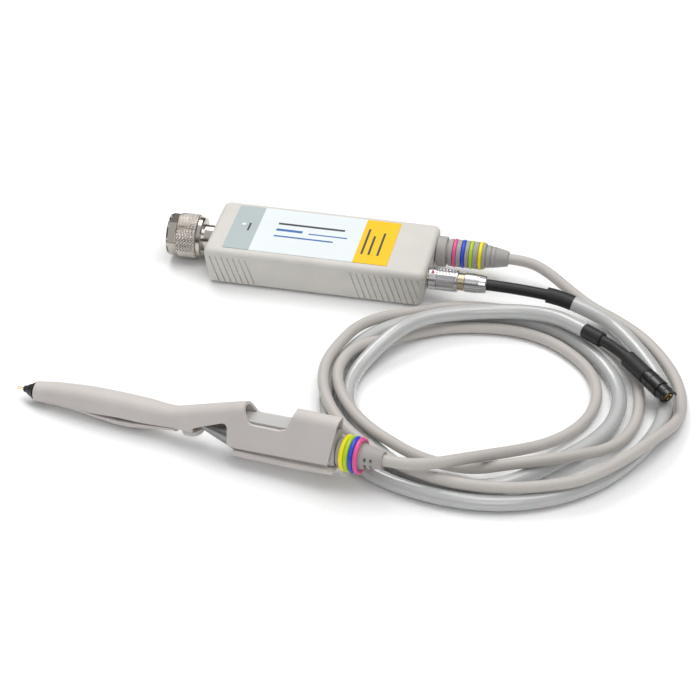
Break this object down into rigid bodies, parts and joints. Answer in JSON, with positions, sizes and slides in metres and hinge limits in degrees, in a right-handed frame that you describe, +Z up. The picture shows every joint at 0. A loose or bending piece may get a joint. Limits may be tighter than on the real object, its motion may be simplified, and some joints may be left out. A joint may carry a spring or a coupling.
{
  "type": "oscilloscope probe",
  "caption": "Differential oscilloscope probe: slim hand-held head, coiled signal cable, compensation pod with a knurled coaxial plug, and a power lead with push-pull plugs.",
  "frame": {"origin": "middle of the pod's flat base, on the bench", "axes": "+X along the pod from its coaxial plug to its cables, +Z up from the bench"},
  "size_m": [0.2765, 0.1779, 0.0298],
  "materials": {
    "pod_plastic": "fine matt moulded texture",
    "screw_steel": "zinc plated",
    "panel_grey": "printed film",
    "panel_white": "printed film",
    "panel_yellow": "printed film",
    "lens": "clear moulding",
    "board": "solder mask",
    "tinned": "tin plated sheet",
    "nickel": "nickel plated",
    "dielectric": "fluoropolymer",
    "gold": "gold plated",
    "gasket": "silicone",
    "boot_grey": "soft moulding",
    "ring_pink": "silicone",
    "ring_blue": "silicone",
    "ring_green": "silicone",
    "ring_yellow": "silicone",
    "chrome": "satin chrome",
    "brass": "turned",
    "dot_red": "enamel",
    "shrink": "heat shrink",
    "signal_jacket": "matt jacket",
    "power_jacket": "glossy jacket",
    "plug_black": "matt sleeve",
    "plug_gloss": "black anodised",
    "handle_plastic": "soft touch moulding",
    "nose_metal": "machined",
    "wheel_grey": "moulded",
    "arm_black": "moulded"
  },
  "bodies": {
    "probe": {"pod_top_shell": "pod_plastic", "pod_bottom_shell": "pod_plastic", "pod_screws": "screw_steel", "panel_grey": "panel_grey", "panel_white": "panel_white", "panel_yellow": "panel_yellow", "status_lens": "lens", "pod_circuit_board": "board", "amp_board": "board", "shield_can": "tinned", "status_led": "tinned", "power_socket_insert": "tinned", "n_connector_body": "nickel", "n_outer_contact": "nickel", "n_retaining_ring": "nickel", "power_socket": "nickel", "n_dielectric": "dielectric", "power_plug_insert": "dielectric", "n_centre_pin": "gold", "scope_plug_contacts": "gold", "pod_cable_boot": "boot_grey", "head_boot": "boot_grey", "pod_ring_pink": "ring_pink", "head_ring_pink": "ring_pink", "pod_ring_blue": "ring_blue", "head_ring_blue": "ring_blue", "pod_ring_green": "ring_green", "head_ring_green": "ring_green", "pod_ring_yellow": "ring_yellow", "head_ring_yellow": "ring_yellow", "power_plug_collet": "chrome", "power_plug_body": "brass", "lead_shrink_thin": "shrink", "lead_shrink_thick": "shrink", "signal_cable": "signal_jacket", "input_coax": "signal_jacket", "tip_coax": "signal_jacket", "power_cable": "power_jacket", "plug_cable_sleeve": "plug_black", "plug_neck": "plug_black", "plug_rear_sleeve": "plug_black", "scope_plug_nose": "plug_gloss", "handle_upper_shell": "handle_plastic", "handle_lower_shell": "handle_plastic", "handle_base_plate": "handle_plastic", "amp_case_top": "handle_plastic", "amp_case_bottom": "handle_plastic", "amp_nose": "nose_metal", "wheel_axle": "nose_metal"},
    "coupling_nut": {"n_coupling_nut": "nickel", "n_gasket": "gasket"},
    "plug_sleeve": {"power_plug_sleeve": "chrome", "plug_alignment_dot": "dot_red"},
    "plug_grip": {"scope_plug_grip": "plug_gloss"},
    "wheel": {"thumbwheel": "wheel_grey"},
    "rod": {"span_rod": "nose_metal"},
    "arm_left": {"tip_arm_left": "arm_black"},
    "arm_right": {"tip_arm_right": "arm_black"},
    "pin_left": {"tip_pin_left": "gold"},
    "pin_right": {"tip_pin_right": "gold"}
  },
  "joints": [
    {"name": "nut_turn", "type": "hinge", "parent": "probe", "child": "coupling_nut", "pos_m": [-0.0647, 0, 0.0104], "axis": [-1, 0, 0], "continuous": true},
    {"name": "sleeve_release", "type": "slide", "parent": "probe", "child": "plug_sleeve", "axis": [1, 0, 0], "range_m": [0, 0.002], "stiffness_N_per_m": 800},
    {"name": "grip_release", "type": "slide", "parent": "probe", "child": "plug_grip", "axis": [-0.6428, 0.766, 0], "range_m": [0, 0.0012], "stiffness_N_per_m": 800},
    {"name": "wheel_turn", "type": "hinge", "parent": "probe", "child": "wheel", "pos_m": [-0.02456, -0.13374, 0.00611], "axis": [-0.0651, 0.0122, 0.9978], "range_deg": [0, 180]},
    {"name": "rod_slide", "type": "slide", "parent": "probe", "child": "rod", "axis": [-0.9808, 0.1834, -0.0662], "range_m": [0, 0.002]},
    {"name": "arm_left_swing", "type": "hinge", "parent": "probe", "child": "arm_left", "pos_m": [-0.09197, -0.12012, 0.00485], "axis": [0.0651, -0.0122, -0.9978], "range_deg": [0, 13]},
    {"name": "arm_right_swing", "type": "hinge", "parent": "probe", "child": "arm_right", "pos_m": [-0.09234, -0.12208, 0.00485], "axis": [-0.0651, 0.0122, 0.9978], "range_deg": [0, 13]},
    {"name": "pin_left_press", "type": "slide", "parent": "arm_left", "child": "pin_left", "axis": [0.9808, -0.1834, 0.0662], "range_m": [0, 0.0007], "stiffness_N_per_m": 300},
    {"name": "pin_right_press", "type": "slide", "parent": "arm_right", "child": "pin_right", "axis": [0.9808, -0.1834, 0.0662], "range_m": [0, 0.0007], "stiffness_N_per_m": 300}
  ],
  "couplings": [
    {"joint": "wheel_turn", "follows": "rod_slide", "rad_per_m": 1570.8},
    {"joint": "arm_left_swing", "follows": "rod_slide", "rad_per_m": 113.45},
    {"joint": "arm_right_swing", "follows": "rod_slide", "rad_per_m": 113.45}
  ]
}
